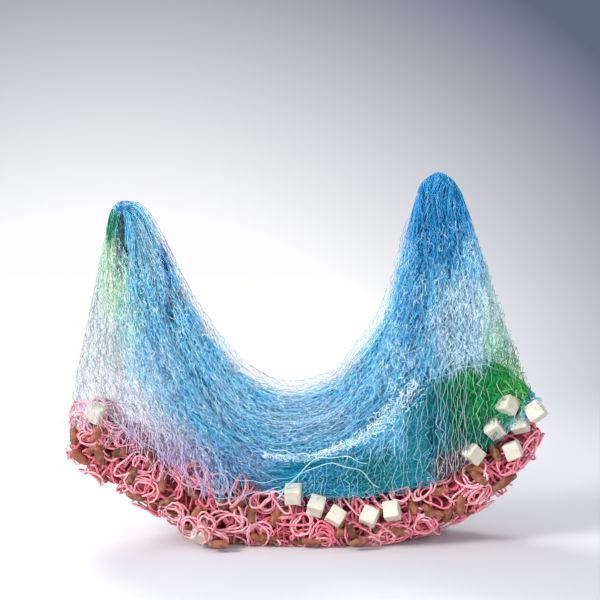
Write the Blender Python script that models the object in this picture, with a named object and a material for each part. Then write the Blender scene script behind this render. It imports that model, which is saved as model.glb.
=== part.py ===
"""A fishing net drawn up into two peaks, with a hammock of netting between them.

The netting is one panel, folded back and forth into six layers. Its two long edges are gathered into
hanks of cord that lie side by side under it: the lead line in front and the float line behind. Clay
sinkers and foam floats sit on the hanks. Metres, +Z up, the front towards -Y, the floor at z = 0.
"""

from math import cos, pi, radians, sin

import bmesh
import bpy
import numpy as np
from mathutils import Matrix, Vector
from mathutils.bvhtree import BVHTree

# Clearances
GAP = 0.0004  # between pieces that rest on each other
HEM_GAP = 0.0009  # between the netting's hems and the hanks' highest places there
FOLD_CLEARANCE = 0.003  # under the netting's inner folds
SEAT_STEP = 0.0015  # between the places where a piece is tried against its seat
START = 0.09  # how far out a piece starts on its way to its seat
ABOVE = 1.0  # over everything

# Curves and meshes
CURVE_STEPS = 24  # between two rows of a table
REST_TRIES = 9  # places tried along a straight run that rests on the hanks
WELD = 1e-5
CREASE = 50  # degrees between two faces that meet at a sharp edge

# Hanks of cord: one row for each section of the garland, from its left tip to its right tip.
# x and z of the middle, half the height, half the depth of one hank
GARLAND = (
    (-0.338, 0.162, 0.014, 0.013),
    (-0.320, 0.157, 0.029, 0.020),
    (-0.290, 0.143, 0.039, 0.024),
    (-0.250, 0.119, 0.042, 0.026),
    (-0.200, 0.087, 0.042, 0.027),
    (-0.140, 0.054, 0.042, 0.028),
    (-0.070, 0.035, 0.041, 0.029),
    (0.000, 0.031, 0.038, 0.029),
    (0.070, 0.030, 0.037, 0.028),
    (0.140, 0.037, 0.036, 0.027),
    (0.205, 0.062, 0.034, 0.026),
    (0.262, 0.101, 0.033, 0.024),
    (0.302, 0.144, 0.030, 0.021),
    (0.325, 0.171, 0.022, 0.016),
    (0.334, 0.182, 0.012, 0.011),
)
HANK_RINGS = 50
HANK_SIDES = 12
HANK_PRESS = 0.0025  # how far the two hanks press each other flat
LOBES = 3  # ridges round a hank, left by its twist
LOBE_DEPTH = 0.15  # of the hank's radius
TWISTS = 4.5  # turns of those ridges from tip to tip
# Swelling of the hanks: share of the radius, radians from tip to tip, where it starts
SWELLS = (
    (0.05, 19, 2),
    (0.03, 43, -1),
)

# Netting: one row for each section, from its left end over both peaks to its right end.
# x and z of the crest, x of the foot, half the depth at the crest
SECTIONS = (
    (-0.326, 0.205, -0.323, 0.013),
    (-0.299, 0.335, -0.302, 0.017),
    (-0.275, 0.446, -0.270, 0.022),
    (-0.264, 0.474, -0.250, 0.024),
    (-0.248, 0.484, -0.232, 0.025),
    (-0.222, 0.472, -0.206, 0.026),
    (-0.190, 0.416, -0.178, 0.028),
    (-0.148, 0.342, -0.140, 0.030),
    (-0.087, 0.259, -0.084, 0.032),
    (-0.012, 0.224, -0.012, 0.033),
    (0.060, 0.257, 0.064, 0.032),
    (0.108, 0.336, 0.122, 0.030),
    (0.138, 0.432, 0.165, 0.027),
    (0.158, 0.494, 0.190, 0.026),
    (0.172, 0.515, 0.206, 0.025),
    (0.189, 0.523, 0.221, 0.024),
    (0.212, 0.506, 0.240, 0.023),
    (0.236, 0.455, 0.260, 0.021),
    (0.262, 0.382, 0.282, 0.019),
    (0.290, 0.298, 0.303, 0.017),
    (0.326, 0.210, 0.324, 0.013),
)
COLUMNS = 48
SHEET = 0.0025  # thickness of a layer
FOOT_DEPTH = 0.034  # half the depth at the foot
FOOT_TAPER = 0.5  # how much of that depth is lost at the two ends
BELLY = 0.010  # how far the outer layers stand out halfway up
ROWS = 4  # along one layer, foot to crest
TURN_RISE = 0.004  # how far a fold's middle stands past its layers
HEM_HOLD = 0.25  # share of a layer's height in which the hem still holds it in line
STRAY = 0.0016  # how far a layer wanders to the front and back along the panel
STRAY_WAVE = 17  # radians of that from end to end
STRAY_SHIFT = 1.9  # between one layer and the next
RIDGE_STRAY = 0.007  # how far a fold's crest wanders up and down
RIDGE_WAVE = 23
RIDGE_SHIFT = 2.1

# Layers, front to back: share of the depth at the foot, share of the depth at the crest, and how far
# its crest lies below the section's
LAYERS = (
    (-1.00, -1.00, 0.013),
    (-0.64, -0.62, 0.013),
    (-0.24, -0.22, 0.001),
    (0.20, 0.20, 0.001),
    (0.62, 0.64, 0.010),
    (1.00, 1.00, 0.010),
)

# Main folds that fan out from a peak: x of the peak, x at the foot, width at the foot, depth to the front
FAN_FOLDS = (
    (-0.249, -0.302, 0.015, 0.009),
    (-0.249, -0.266, 0.014, -0.008),
    (-0.249, -0.224, 0.016, 0.012),
    (-0.249, -0.182, 0.014, -0.009),
    (-0.249, -0.138, 0.019, 0.011),
    (-0.249, -0.088, 0.017, -0.008),
    (0.188, 0.100, 0.018, -0.008),
    (0.188, 0.146, 0.018, 0.012),
    (0.188, 0.192, 0.015, -0.010),
    (0.188, 0.232, 0.015, 0.011),
    (0.188, 0.270, 0.013, -0.008),
    (0.188, 0.304, 0.013, 0.009),
)
PEAK_Z = 0.50
FOOT_Z = 0.08
LEAST_SPREAD = 0.3  # of a fold's width at the foot, near the peak
FULL_FALL = 0.4  # share of the fall from the peak at which a fold has its whole depth

# Swags across the hammock: share of the height, width in the same share, depth to the front
SWAGS = (
    (0.78, 0.12, 0.009),
    (0.50, 0.12, -0.009),
    (0.24, 0.11, 0.010),
)
HAMMOCK_MIDDLE = -0.020
HAMMOCK_REACH = 0.120

# Sinkers: a barrel turned in clay
SINKER_LENGTH = 0.028
SINKER_SIDES = 10
SINKER_TIP = 8  # degrees off its seat, either way
# share of half the length, radius
SINKER_PROFILE = (
    (-1.00, 0.0034),
    (-0.62, 0.0053),
    (0.00, 0.0063),
    (0.58, 0.0056),
    (1.00, 0.0036),
)
# x, degrees round the hanks (0 front, 90 top, 180 back), degrees turned from the hank's run
SINKERS = (
    (-0.320, 4, 70),
    (-0.302, -30, 15),
    (-0.295, 26, 95),
    (-0.280, -6, 50),
    (-0.266, -46, 20),
    (-0.260, 20, 125),
    (-0.238, 46, 30),
    (-0.234, -6, 75),
    (-0.218, -34, 150),
    (-0.200, 12, 65),
    (-0.182, -16, 115),
    (-0.164, 22, 20),
    (-0.146, -6, 95),
    (-0.120, 26, 50),
    (-0.108, -24, 165),
    (-0.074, 20, 80),
    (-0.046, -22, 10),
    (-0.038, 20, 110),
    (0.014, -22, 4),
    (0.068, -4, 60),
    (0.078, -16, 176),
    (0.112, -14, 8),
    (0.162, 28, 105),
    (0.180, 4, 60),
    (0.202, 34, 25),
    (0.217, -10, 120),
    (0.252, 14, 75),
    (0.264, -26, 35),
    (0.283, 30, 100),
    (-0.290, 158, 60),
    (-0.240, 190, 110),
    (-0.180, 165, 25),
    (-0.110, 176, 80),
    (-0.035, 160, 130),
    (0.035, 176, 140),
    (0.105, 162, 95),
    (0.170, 184, 20),
    (0.235, 160, 70),
    (0.290, 182, 120),
)

# Floats: a foam cube with softened edges
FLOAT_SIZE = 0.025
FLOAT_BEVEL = 0.0018
FLOAT_TIP = 9
TIP_WAVE = 5  # radians between the tips of one piece and the next
LEVEL_WAY = 2  # how much a piece high on the hanks comes in from the front or back
# x, degrees round the hanks, degrees turned from the hank's run, how far above the hanks
FLOATS = (
    (-0.306, 66, 20, 0.000),
    (-0.014, 62, 5, 0.000),
    (0.018, 42, 14, 0.000),
    (0.046, 24, 30, 0.000),
    (0.094, 22, 28, 0.000),
    (0.128, 27, 4, 0.000),
    (0.265, 58, 70, 0.000),
    (0.299, 60, 20, 0.002),
    (0.318, 34, 35, 0.000),
    (0.316, 60, 60, 0.016),
    (0.296, 6, 25, 0.000),
    (0.334, 18, 15, 0.004),
    (-0.130, -28, 30, 0.000),
    (0.323, 184, 40, 0.000),
    (-0.060, 165, 14, 0.000),
    (0.150, 172, 42, 0.000),
    (0.270, 140, 30, 0.000),
)


def clear_scene():
    for item in list(bpy.data.objects):
        bpy.data.objects.remove(item, do_unlink=True)


def material(name, colour, roughness):
    made = bpy.data.materials.new(name)
    made.use_nodes = True
    shader = made.node_tree.nodes["Principled BSDF"]
    shader.inputs["Base Color"].default_value = (*colour, 1.0)
    shader.inputs["Roughness"].default_value = roughness
    shader.inputs["Metallic"].default_value = 0.0
    made.diffuse_color = (*colour, 1.0)
    return made


def add_object(name, mesh, finish):
    made = bpy.data.objects.new(name, mesh)
    bpy.context.scene.collection.objects.link(made)
    if finish.name not in mesh.materials:
        mesh.materials.append(finish)
    return made


def mesh_from(name, points, faces):
    """A mesh of triangles over these points and faces, with doubled points merged, turned outwards."""
    mesh = bpy.data.meshes.new(name)
    mesh.from_pydata([tuple(p) for p in points], [], faces)
    work = bmesh.new()
    work.from_mesh(mesh)
    bmesh.ops.remove_doubles(work, verts=work.verts, dist=WELD)
    bmesh.ops.triangulate(work, faces=work.faces)
    bmesh.ops.recalc_face_normals(work, faces=work.faces)
    work.to_mesh(mesh)
    work.free()
    mesh.shade_smooth()
    mesh.set_sharp_from_angle(angle=radians(CREASE))
    return mesh


def through(rows, count, even=True):
    """count rows along the smooth curve through these rows: evenly spaced over its first two columns, or
    with as many between one row and the next all along."""
    rows = np.array(rows)
    padded = np.vstack([2 * rows[0] - rows[1], rows, 2 * rows[-1] - rows[-2]])
    fine = []
    for before, start, end, after in zip(padded, padded[1:], padded[2:], padded[3:]):
        for t in np.linspace(0, 1, CURVE_STEPS, endpoint=False):
            bend = 2 * before - 5 * start + 4 * end - after
            turn = 3 * start - before - 3 * end + after
            fine.append(start + 0.5 * t * (end - before + t * (bend + t * turn)))
    fine = np.array([*fine, rows[-1]])
    run = np.arange(len(fine), dtype=float)
    if even:
        run[1:] = np.cumsum(np.hypot(*np.diff(fine[:, :2], axis=0).T))
    at = np.linspace(0, run[-1], count)
    return np.column_stack([np.interp(at, run, column) for column in fine.T])


def hank(name, side, finish):
    """One twisted hank of cord along the garland, on the side towards -Y (side -1) or +Y (side 1)."""
    rings = through(GARLAND, HANK_RINGS)
    ways = np.gradient(rings[:, :2], axis=0)
    ways /= np.linalg.norm(ways, axis=1)[:, None]
    points = []
    for i, ((x, z, half_height, half_depth), (run, rise)) in enumerate(zip(rings, ways)):
        along = i / (HANK_RINGS - 1)
        swell = 1 + sum(size * sin(wave * along + start * side) for size, wave, start in SWELLS)
        for j in range(HANK_SIDES):
            angle = 2 * pi * (j + 0.5) / HANK_SIDES
            lobe = swell + LOBE_DEPTH * cos(LOBES * angle - side * TWISTS * 2 * pi * along)
            up = half_height * sin(angle) * lobe
            y = side * (half_depth - HANK_PRESS) + half_depth * cos(angle) * lobe
            y = side * max(side * y, GAP / 2)
            points.append((x - rise * up, y, max(z + run * up, 0.0)))
    faces = []
    for i in range(HANK_RINGS - 1):
        for j in range(HANK_SIDES):
            a = i * HANK_SIDES + j
            b = i * HANK_SIDES + (j + 1) % HANK_SIDES
            faces.append((a, b, b + HANK_SIDES, a + HANK_SIDES))
    faces.append(tuple(range(HANK_SIDES)))
    faces.append(tuple(range(len(points) - HANK_SIDES, len(points))))
    return add_object(name, mesh_from(name, points, faces), finish)


def tree_of(item):
    """A search tree over an object's faces, and places close together along its edges, in world space."""
    points = [item.matrix_world @ v.co for v in item.data.vertices]
    faces = [tuple(face.vertices) for face in item.data.polygons]
    spots = []
    for edge in item.data.edges:
        a, b = (points[i] for i in edge.vertices)
        steps = max(1, round((b - a).length / SEAT_STEP))
        spots += [a.lerp(b, k / steps) for k in range(steps + 1)]
    return BVHTree.FromPolygons(points, faces), np.array(spots)


def height_at(trees, x, y):
    """How high the hanks stand at this place."""
    found = [tree.ray_cast(Vector((x, y, ABOVE)), Vector((0, 0, -1)))[0] for tree in trees]
    return max((place.z for place in found if place is not None), default=0.0)


def resting_heights(trees, xs, ys):
    """Heights for a line of points at these places, such that straight runs between them clear the hanks."""
    heights = np.array([height_at(trees, x, y) for x, y in zip(xs, ys)])
    for i in range(len(xs) - 1):
        for t in np.linspace(0, 1, REST_TRIES):
            x, y, z = (a[i] + t * (a[i + 1] - a[i]) for a in (xs, ys, heights))
            heights[i : i + 2] += max(0.0, height_at(trees, x, y) - z)
    return heights


def folded_by(x, z, height):
    """How far the main folds push the netting towards the front, at a share of the section's height."""
    total = 0.0
    fall = (PEAK_Z - z) / (PEAK_Z - FOOT_Z)
    for peak_x, foot_x, width, depth in FAN_FOLDS:
        middle = peak_x + (foot_x - peak_x) * fall
        spread = width * max(LEAST_SPREAD, fall)
        grown = min(1, max(0, fall / FULL_FALL))
        total += depth * grown * np.exp(-(((x - middle) / spread) ** 2))
    window = np.exp(-(((x - HAMMOCK_MIDDLE) / HAMMOCK_REACH) ** 4))
    for share, width, depth in SWAGS:
        total += depth * window * np.exp(-(((height - share) / width) ** 2))
    return total


def section_line(along, crest_x, crest_z, foot_x, crest_depth, feet):
    """The middle line of one section of the netting, from its front hem to its back hem, over feet, the
    y and z of each layer's foot."""
    line = []
    for k, (foot_share, crest_share, drop) in enumerate(LAYERS):
        foot_y, foot_z = feet[k]
        wander = 0.5 + 0.5 * sin(RIDGE_WAVE * along + RIDGE_SHIFT * (k // 2))
        top_z = crest_z - drop - RIDGE_STRAY * wander
        stray = STRAY * sin(STRAY_WAVE * along + STRAY_SHIFT * k)
        layer = []
        for h in np.linspace(0, 1, ROWS + 1):
            x = foot_x + (crest_x - foot_x) * h
            z = foot_z + (top_z - foot_z) * h
            y = foot_y + (crest_share * crest_depth - foot_y) * h + foot_share * BELLY * sin(pi * h)
            y += min(1, h / HEM_HOLD) * (stray - folded_by(x, z, h))
            layer.append((x, y, z))
        if k % 2:
            layer.reverse()
        if line:
            (x, y, z), (_, next_y, next_z) = line[-1], layer[0]
            rise = TURN_RISE if k % 2 else -TURN_RISE
            line.append((x, (y + next_y) / 2, (z + next_z) / 2 + rise))
        line += layer
    return np.array(line)


def layer_feet(trees, k, foot_xs, foot_depths):
    """The y and z of one layer's foot in each section: a hem rests on the hanks, a fold clears them."""
    own_ys = LAYERS[k][0] * foot_depths
    if k in (0, len(LAYERS) - 1):
        return np.column_stack([own_ys, resting_heights(trees, foot_xs, own_ys) + HEM_GAP])
    partner = k + 1 if k % 2 else k - 1
    partner_ys = LAYERS[partner][0] * foot_depths
    lines = [own_ys + t * (partner_ys - own_ys) for t in (0, 0.25, 0.5, 0.75, 1)]
    highest = np.max([resting_heights(trees, foot_xs, ys) for ys in lines], axis=0)
    return np.column_stack([own_ys, highest + FOLD_CLEARANCE + TURN_RISE])


def netting(hanks, finish):
    """The panel: its folded section, swept from the left end over both peaks to the right end."""
    trees = [tree_of(item)[0] for item in hanks]
    sections = through(SECTIONS, COLUMNS, even=False)
    along = np.linspace(0, 1, COLUMNS)
    foot_depths = FOOT_DEPTH * (1 - FOOT_TAPER * abs(2 * along - 1) ** 4)
    feet = np.array([layer_feet(trees, k, sections[:, 2], foot_depths) for k in range(len(LAYERS))])
    loops = []
    for i, section in enumerate(sections):
        line = section_line(along[i], *section, feet[:, i])
        way = np.gradient(line[:, 1:], axis=0)
        way /= np.linalg.norm(way, axis=1)[:, None]
        offset = np.column_stack([0 * way[:, 0], -way[:, 1], way[:, 0]]) * SHEET / 2
        loops.append([*(line + offset), *(line - offset)[::-1]])
    loops = np.array(loops)
    loop = loops.shape[1]
    for corner in (0, loop // 2 - 1, loop // 2, loop - 1):
        places = loops[:, corner]
        places[:, 2] = resting_heights(trees, places[:, 0], places[:, 1]) + HEM_GAP
    faces = []
    for i in range(COLUMNS - 1):
        for j in range(loop):
            a = i * loop + j
            b = i * loop + (j + 1) % loop
            faces.append((a, b, b + loop, a + loop))
    for start in (0, loop * (COLUMNS - 1)):
        for j in range(loop // 2 - 1):
            a = start + j
            b = start + loop - 1 - j
            faces.append((a, a + 1, b - 1, b))
    return add_object("netting", mesh_from("netting", loops.reshape(-1, 3), faces), finish)


def sinker_mesh():
    """A barrel round X, solid all through, as the cord that it is strung on fills its bore."""
    points = []
    for share, radius in SINKER_PROFILE:
        for j in range(SINKER_SIDES):
            angle = 2 * pi * j / SINKER_SIDES
            points.append((share * SINKER_LENGTH / 2, radius * cos(angle), radius * sin(angle)))
    faces = []
    for a in range(0, len(points) - SINKER_SIDES, SINKER_SIDES):
        for j in range(SINKER_SIDES):
            k = (j + 1) % SINKER_SIDES
            faces.append((a + j, a + k, a + k + SINKER_SIDES, a + j + SINKER_SIDES))
    faces.append(tuple(range(SINKER_SIDES)))
    faces.append(tuple(range(len(points) - SINKER_SIDES, len(points))))
    return mesh_from("sinker", points, faces)


def float_mesh():
    """A cube with its edges cut back."""
    mesh = bpy.data.meshes.new("float")
    work = bmesh.new()
    bmesh.ops.create_cube(work, size=FLOAT_SIZE)
    bmesh.ops.bevel(work, geom=work.edges, offset=FLOAT_BEVEL, segments=1, affect="EDGES")
    work.to_mesh(mesh)
    work.free()
    return mesh


def garland_place(x, around):
    """A place outside the hanks: its middle, the way out and the hanks' run there."""
    rings = through(GARLAND, HANK_RINGS)
    ways = np.gradient(rings[:, :2], axis=0)
    run, rise = (np.interp(x, rings[:, 0], way) for way in ways.T)
    z, half_height, half_depth = (np.interp(x, rings[:, 0], column) for column in rings.T[1:])
    tangent = Vector((run, 0, rise)).normalized()
    upward = Vector((-tangent.z, 0, tangent.x))
    angle = radians(around)
    front = cos(angle)
    across = Vector((0, -front, 0)) * 2 * half_depth
    middle = Vector((x, 0, z))
    surface = middle + across + upward * half_height * sin(angle)
    out = across / (2 * half_depth) ** 2 + upward * sin(angle) / half_height
    return surface, out.normalized(), tangent


def seat(piece, way, others):
    """Brings a piece in along this way, from clear of the others until it is GAP from the first it meets."""
    tree, spots = tree_of(piece)
    middle, reach = np.array(piece.matrix_world.translation), max(piece.dimensions)
    travel = []
    for other_tree, other_spots in others:
        beside = other_spots - middle
        beside -= np.outer(beside @ np.array(way), way)
        near = other_spots[np.linalg.norm(beside, axis=1) < reach]
        if len(near):
            travel += [other_tree.ray_cast(Vector(spot), way)[3] for spot in spots]
            travel += [tree.ray_cast(Vector(spot), -way)[3] for spot in near]
    shortest = min(length for length in travel if length is not None)
    piece.matrix_world = Matrix.Translation(way * (shortest - GAP)) @ piece.matrix_world
    bpy.context.view_layer.update()


def place_pieces(name, mesh, rows, tip, finish, others):
    """Copies of a mesh on the hanks, one for each row, each seated on what is there already."""
    for number, (x, around, turn, above) in enumerate(rows, 1):
        surface, out, tangent = garland_place(x, around)
        surface.z += above
        long_way = tangent.cross(out).normalized() * sin(radians(turn)) + tangent * cos(radians(turn))
        long_way = (long_way - out * long_way.dot(out)).normalized()
        across = out.cross(long_way)
        turned = Matrix((long_way, across, out)).transposed().to_4x4()
        tipped = Matrix.Rotation(radians(tip * sin(TIP_WAVE * number)), 4, "Y")
        level = Vector((0, out.y, 0)).normalized()
        way = -(out + level * max(0.0, out.z) * LEVEL_WAY).normalized()
        piece = add_object(f"{name}_{number:02d}", mesh, finish)
        piece.matrix_world = Matrix.Translation(surface - way * START) @ turned @ tipped
        bpy.context.view_layer.update()
        seat(piece, way, others)
        others.append(tree_of(piece))


def build():
    clear_scene()
    nylon = material("netting_nylon", (0.18, 0.48, 0.75), 0.4)
    cord = material("pink_cord", (0.87, 0.32, 0.42), 0.6)
    clay = material("fired_clay", (0.50, 0.27, 0.16), 0.8)
    foam = material("white_foam", (0.88, 0.86, 0.80), 0.7)
    hanks = [hank("lead_line_hank", -1, cord), hank("float_line_hank", 1, cord)]
    others = [tree_of(item) for item in [*hanks, netting(hanks, nylon)]]
    place_pieces("float", float_mesh(), FLOATS, FLOAT_TIP, foam, others)
    place_pieces("sinker", sinker_mesh(), [(*row, 0) for row in SINKERS], SINKER_TIP, clay, others)


build()
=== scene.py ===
"""Looks of the fishing net: dyed monofilament netting drawn up into two peaks over a garland of pink
cord, clay sinkers and foam floats. Metres, +Z up, the front towards -Y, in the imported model's frame.
"""

from math import cos, pi, radians, sin

import bmesh
import bpy
import numpy as np
from mathutils import Matrix, Vector


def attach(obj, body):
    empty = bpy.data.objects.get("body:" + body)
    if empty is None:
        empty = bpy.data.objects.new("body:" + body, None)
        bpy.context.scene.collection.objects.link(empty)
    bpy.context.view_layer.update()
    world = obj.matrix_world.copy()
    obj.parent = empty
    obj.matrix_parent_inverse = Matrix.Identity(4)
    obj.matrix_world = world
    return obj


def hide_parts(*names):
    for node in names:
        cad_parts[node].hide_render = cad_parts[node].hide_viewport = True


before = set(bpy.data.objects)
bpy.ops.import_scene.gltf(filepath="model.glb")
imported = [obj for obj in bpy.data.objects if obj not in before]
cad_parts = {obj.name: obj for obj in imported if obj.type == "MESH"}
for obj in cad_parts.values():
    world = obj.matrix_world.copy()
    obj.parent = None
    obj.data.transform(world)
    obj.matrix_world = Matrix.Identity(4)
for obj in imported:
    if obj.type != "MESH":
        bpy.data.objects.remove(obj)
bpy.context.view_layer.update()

# Camera and studio
VIEW_TARGET = (-0.0035, 0.0, 0.343)
VIEW_DISTANCE = 2.2
VIEW_ELEVATION = 9
LENS = 94

# Painted light: the backdrop glows though it is no lamp, brightest at the left and darker outwards.
# Backdrop: the fixed place that its glow spreads from, then the glow's middle and reach, in metres aside
# and up for each metre back from there; where it starts to darken and where it is darkest; its two colours
GLOW_FROM = (-0.0035, -2.172915, 0.687156)
GLOW = (-0.117, 1, -0.324)
GLOW_REACH = (0.262, 1000, 0.249)
GLOW_FADE = (0.90, 1.74)
GLOW_COLOURS = (251, 251, 253), (92, 102, 126)
# Painted shade: the floor is darker towards the right.
FLOOR_LIT_LEFT = (206, 205, 209)
FLOOR_SHADED_RIGHT = (198, 198, 202)
WALL_STARTS = (0.25, 1.10)  # y where the floor starts to turn into the backdrop, and where it has
# The sweep's outline: y, z. Its ends aside, and how far it lies under the hanks' lowest points
SWEEP = ((-6, 0), (-3, 0), (0, 0), (2.2, 0), (2.6, 0.08), (2.85, 0.3), (2.95, 0.7), (2.98, 1.2), (2.98, 4))
SWEEP_SIDE = 6
SWEEP_DROP = 0.0002
# Lamps: name, place, what it points at, size, power
LAMPS = (
    ("key", (-3.2, -1.8, 2.4), (0.0, 0.0, 0.25), 1.2, 190),
    ("fill", (1.4, -2.0, 1.0), (0.0, 0.0, 0.25), 1.8, 19),
    ("rim", (-0.7, 1.2, 1.4), (0.0, 0.0, 0.30), 0.8, 26),
)
SKY = (0.95, 0.97, 1.0, 1.0)
SKY_STRENGTH = 0.85

# Garland: one row for each section, from its left tip to its right tip.
# x and z of the middle, half the height, half the depth of one hank
GARLAND = (
    (-0.338, 0.162, 0.014, 0.013),
    (-0.320, 0.157, 0.029, 0.020),
    (-0.290, 0.143, 0.039, 0.024),
    (-0.250, 0.119, 0.042, 0.026),
    (-0.200, 0.087, 0.042, 0.027),
    (-0.140, 0.054, 0.042, 0.028),
    (-0.070, 0.035, 0.041, 0.029),
    (0.000, 0.031, 0.038, 0.029),
    (0.070, 0.030, 0.037, 0.028),
    (0.140, 0.037, 0.036, 0.027),
    (0.205, 0.062, 0.034, 0.026),
    (0.262, 0.101, 0.033, 0.024),
    (0.302, 0.144, 0.030, 0.021),
    (0.325, 0.171, 0.022, 0.016),
    (0.334, 0.182, 0.012, 0.011),
)

# Netting: strands of each surface, in turn across it (the left fan from its outer edge, the right one to
# its outer edge; the skirt's run from its left end to its right one, the topmost first).
# x and z at the peak or the top edge, x and z at the foot, how far the middle stands aside in x and in z
FANS = {
    "left": (
        (-0.272, 0.448, -0.327, 0.200, 0.000, 0.000),
        (-0.267, 0.468, -0.280, 0.165, 0.000, 0.000),
        (-0.258, 0.480, -0.212, 0.120, -0.004, 0.000),
        (-0.243, 0.482, -0.128, 0.085, -0.018, -0.012),
        (-0.222, 0.471, -0.020, 0.075, -0.038, -0.026),
    ),
    "right": (
        (0.157, 0.484, 0.018, 0.080, 0.016, -0.006),
        (0.166, 0.508, 0.100, 0.075, 0.012, 0.000),
        (0.188, 0.522, 0.190, 0.100, 0.004, 0.000),
        (0.208, 0.512, 0.268, 0.145, 0.000, 0.000),
        (0.222, 0.492, 0.328, 0.205, 0.000, 0.000),
    ),
    # The green heap under the right peak, the teal skirt under the hammock and a coarse net before both
    "heap": (
        (0.180, 0.236, 0.168, 0.084, 0.000, 0.000),
        (0.208, 0.254, 0.205, 0.098, 0.000, 0.000),
        (0.243, 0.260, 0.245, 0.126, 0.000, 0.000),
        (0.288, 0.246, 0.290, 0.165, 0.000, 0.000),
        (0.330, 0.208, 0.326, 0.196, 0.000, 0.000),
    ),
    "skirt": (
        (-0.086, 0.120, 0.186, 0.238, 0.000, -0.036),
        (-0.088, 0.102, 0.190, 0.190, 0.000, -0.032),
        (-0.090, 0.086, 0.195, 0.138, 0.000, -0.024),
        (-0.092, 0.070, 0.200, 0.092, 0.000, -0.012),
    ),
    "coarse": (
        (-0.034, 0.080, -0.036, 0.060, 0.000, 0.000),
        (0.029, 0.124, 0.028, 0.058, 0.000, 0.000),
        (0.090, 0.150, 0.090, 0.064, 0.000, 0.000),
        (0.150, 0.215, 0.150, 0.076, 0.000, 0.000),
        (0.200, 0.252, 0.205, 0.098, 0.000, 0.000),
        (0.243, 0.264, 0.245, 0.126, 0.000, 0.000),
        (0.330, 0.210, 0.326, 0.196, 0.000, 0.000),
    ),
}
# Hammock: its ridge and its lowest strand, from the left peak to the right one: x, z
RIDGE = (
    (-0.246, 0.483), (-0.2135, 0.466), (-0.158, 0.357), (-0.1225, 0.301), (-0.0875, 0.259),
    (-0.0567, 0.2366), (-0.0175, 0.224), (0.0385, 0.238), (0.0595, 0.259), (0.1085, 0.329),
    (0.1365, 0.427), (0.1505, 0.465), (0.186, 0.520),
)
LOWEST = (
    (-0.256, 0.470), (-0.238, 0.413), (-0.216, 0.343), (-0.188, 0.273), (-0.155, 0.203),
    (-0.118, 0.145), (-0.065, 0.110), (0.000, 0.112), (0.060, 0.140), (0.118, 0.187),
    (0.163, 0.250), (0.192, 0.330), (0.205, 0.420), (0.206, 0.500),
)

# A band of crumpled white netting across the hammock: x and z of its middle, how many short threads, how
# far forward it starts and how thick it is, how wide it is at its left end and how much wider at its right
# Painted highlight: the band's threads are painted pale and white for their sparkle.
BAND = (
    (-0.052, 0.134), (-0.004, 0.129), (0.038, 0.139), (0.076, 0.157),
    (0.113, 0.182), (0.137, 0.208), (0.158, 0.236),
)
BAND_STROKES = 820
BAND_DEPTH = (0.054, 0.006)
BAND_SPREAD = (0.0015, 0.0075)
BAND_RADIUS = 0.00042

# Where the panel turns from the front to the back: the outer edge of each surface (0 its first row, 1 its
# last one), and the share of its width in which it turns
OUTER_EDGES = {"left": 0, "right": 1, "heap": 1}
EDGE_FOLD = 0.12

# Thread meshes: seed, threads across, depth to the front at the foot (negative: to the back), depth
# at the peak, thread radius, first and last u of the surface, how pale the threads are, sides of a
# thread (2 is a flat one, for the inner nets)
LEFT_NETS = (
    (11, 50, 0.050, 0.022, 0.00032, 0.00, 0.96, 0.85, 3),
    (12, 54, 0.045, 0.019, 0.00032, 0.03, 1.00, 0.80, 3),
    (13, 66, 0.040, 0.016, 0.00030, 0.22, 1.00, 0.50, 2),
    (14, 62, 0.036, 0.013, 0.00034, 0.32, 1.00, 0.45, 2),
    (15, 56, 0.031, 0.011, 0.00036, 0.52, 1.00, 0.40, 2),
    (16, 52, 0.027, 0.009, 0.00038, 0.64, 1.00, 0.35, 2),
    (17, 50, 0.023, 0.007, 0.00038, 0.70, 1.00, 0.30, 2),
    (18, 50, -0.024, -0.008, 0.00038, 0.70, 1.00, 0.30, 2),
    (19, 60, -0.030, -0.011, 0.00036, 0.56, 1.00, 0.40, 2),
    (20, 66, -0.038, -0.015, 0.00034, 0.28, 1.00, 0.50, 2),
    (21, 50, -0.048, -0.022, 0.00032, 0.00, 0.96, 0.90, 3),
)
RIGHT_NETS = (
    (22, 54, 0.050, 0.022, 0.00034, 0.00, 1.00, 1.00, 3),
    (23, 56, 0.045, 0.019, 0.00034, 0.02, 0.98, 0.75, 3),
    (24, 76, 0.040, 0.016, 0.00034, 0.04, 0.98, 0.50, 2),
    (25, 76, 0.036, 0.013, 0.00034, 0.06, 0.98, 0.45, 2),
    (26, 80, 0.031, 0.011, 0.00036, 0.08, 0.94, 0.40, 2),
    (27, 80, 0.027, 0.009, 0.00038, 0.10, 0.84, 0.40, 2),
    (28, 80, 0.023, 0.007, 0.00038, 0.10, 0.80, 0.30, 2),
    (29, 80, -0.024, -0.008, 0.00038, 0.10, 0.80, 0.30, 2),
    (30, 80, -0.030, -0.011, 0.00036, 0.08, 0.86, 0.40, 2),
    (31, 76, -0.038, -0.015, 0.00034, 0.04, 0.94, 0.50, 2),
    (32, 48, -0.048, -0.022, 0.00038, 0.00, 1.00, 1.10, 3),
)
HAMMOCK_NETS = (
    (41, 48, 0.038, 0.019, 0.00032, 0.00, 0.98, 1.00, 3),
    (42, 54, 0.034, 0.016, 0.00036, 0.08, 1.00, 0.65, 2),
    (43, 64, 0.029, 0.014, 0.00034, 0.13, 1.00, 0.50, 2),
    (44, 64, 0.024, 0.012, 0.00036, 0.15, 1.00, 0.45, 2),
    (45, 64, 0.019, 0.010, 0.00036, 0.15, 1.00, 0.40, 2),
    (46, 60, -0.014, -0.008, 0.00036, 0.15, 1.00, 0.40, 2),
    (47, 60, -0.024, -0.012, 0.00034, 0.12, 1.00, 0.50, 2),
    (48, 46, -0.036, -0.018, 0.00034, 0.00, 0.98, 1.00, 3),
)
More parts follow.
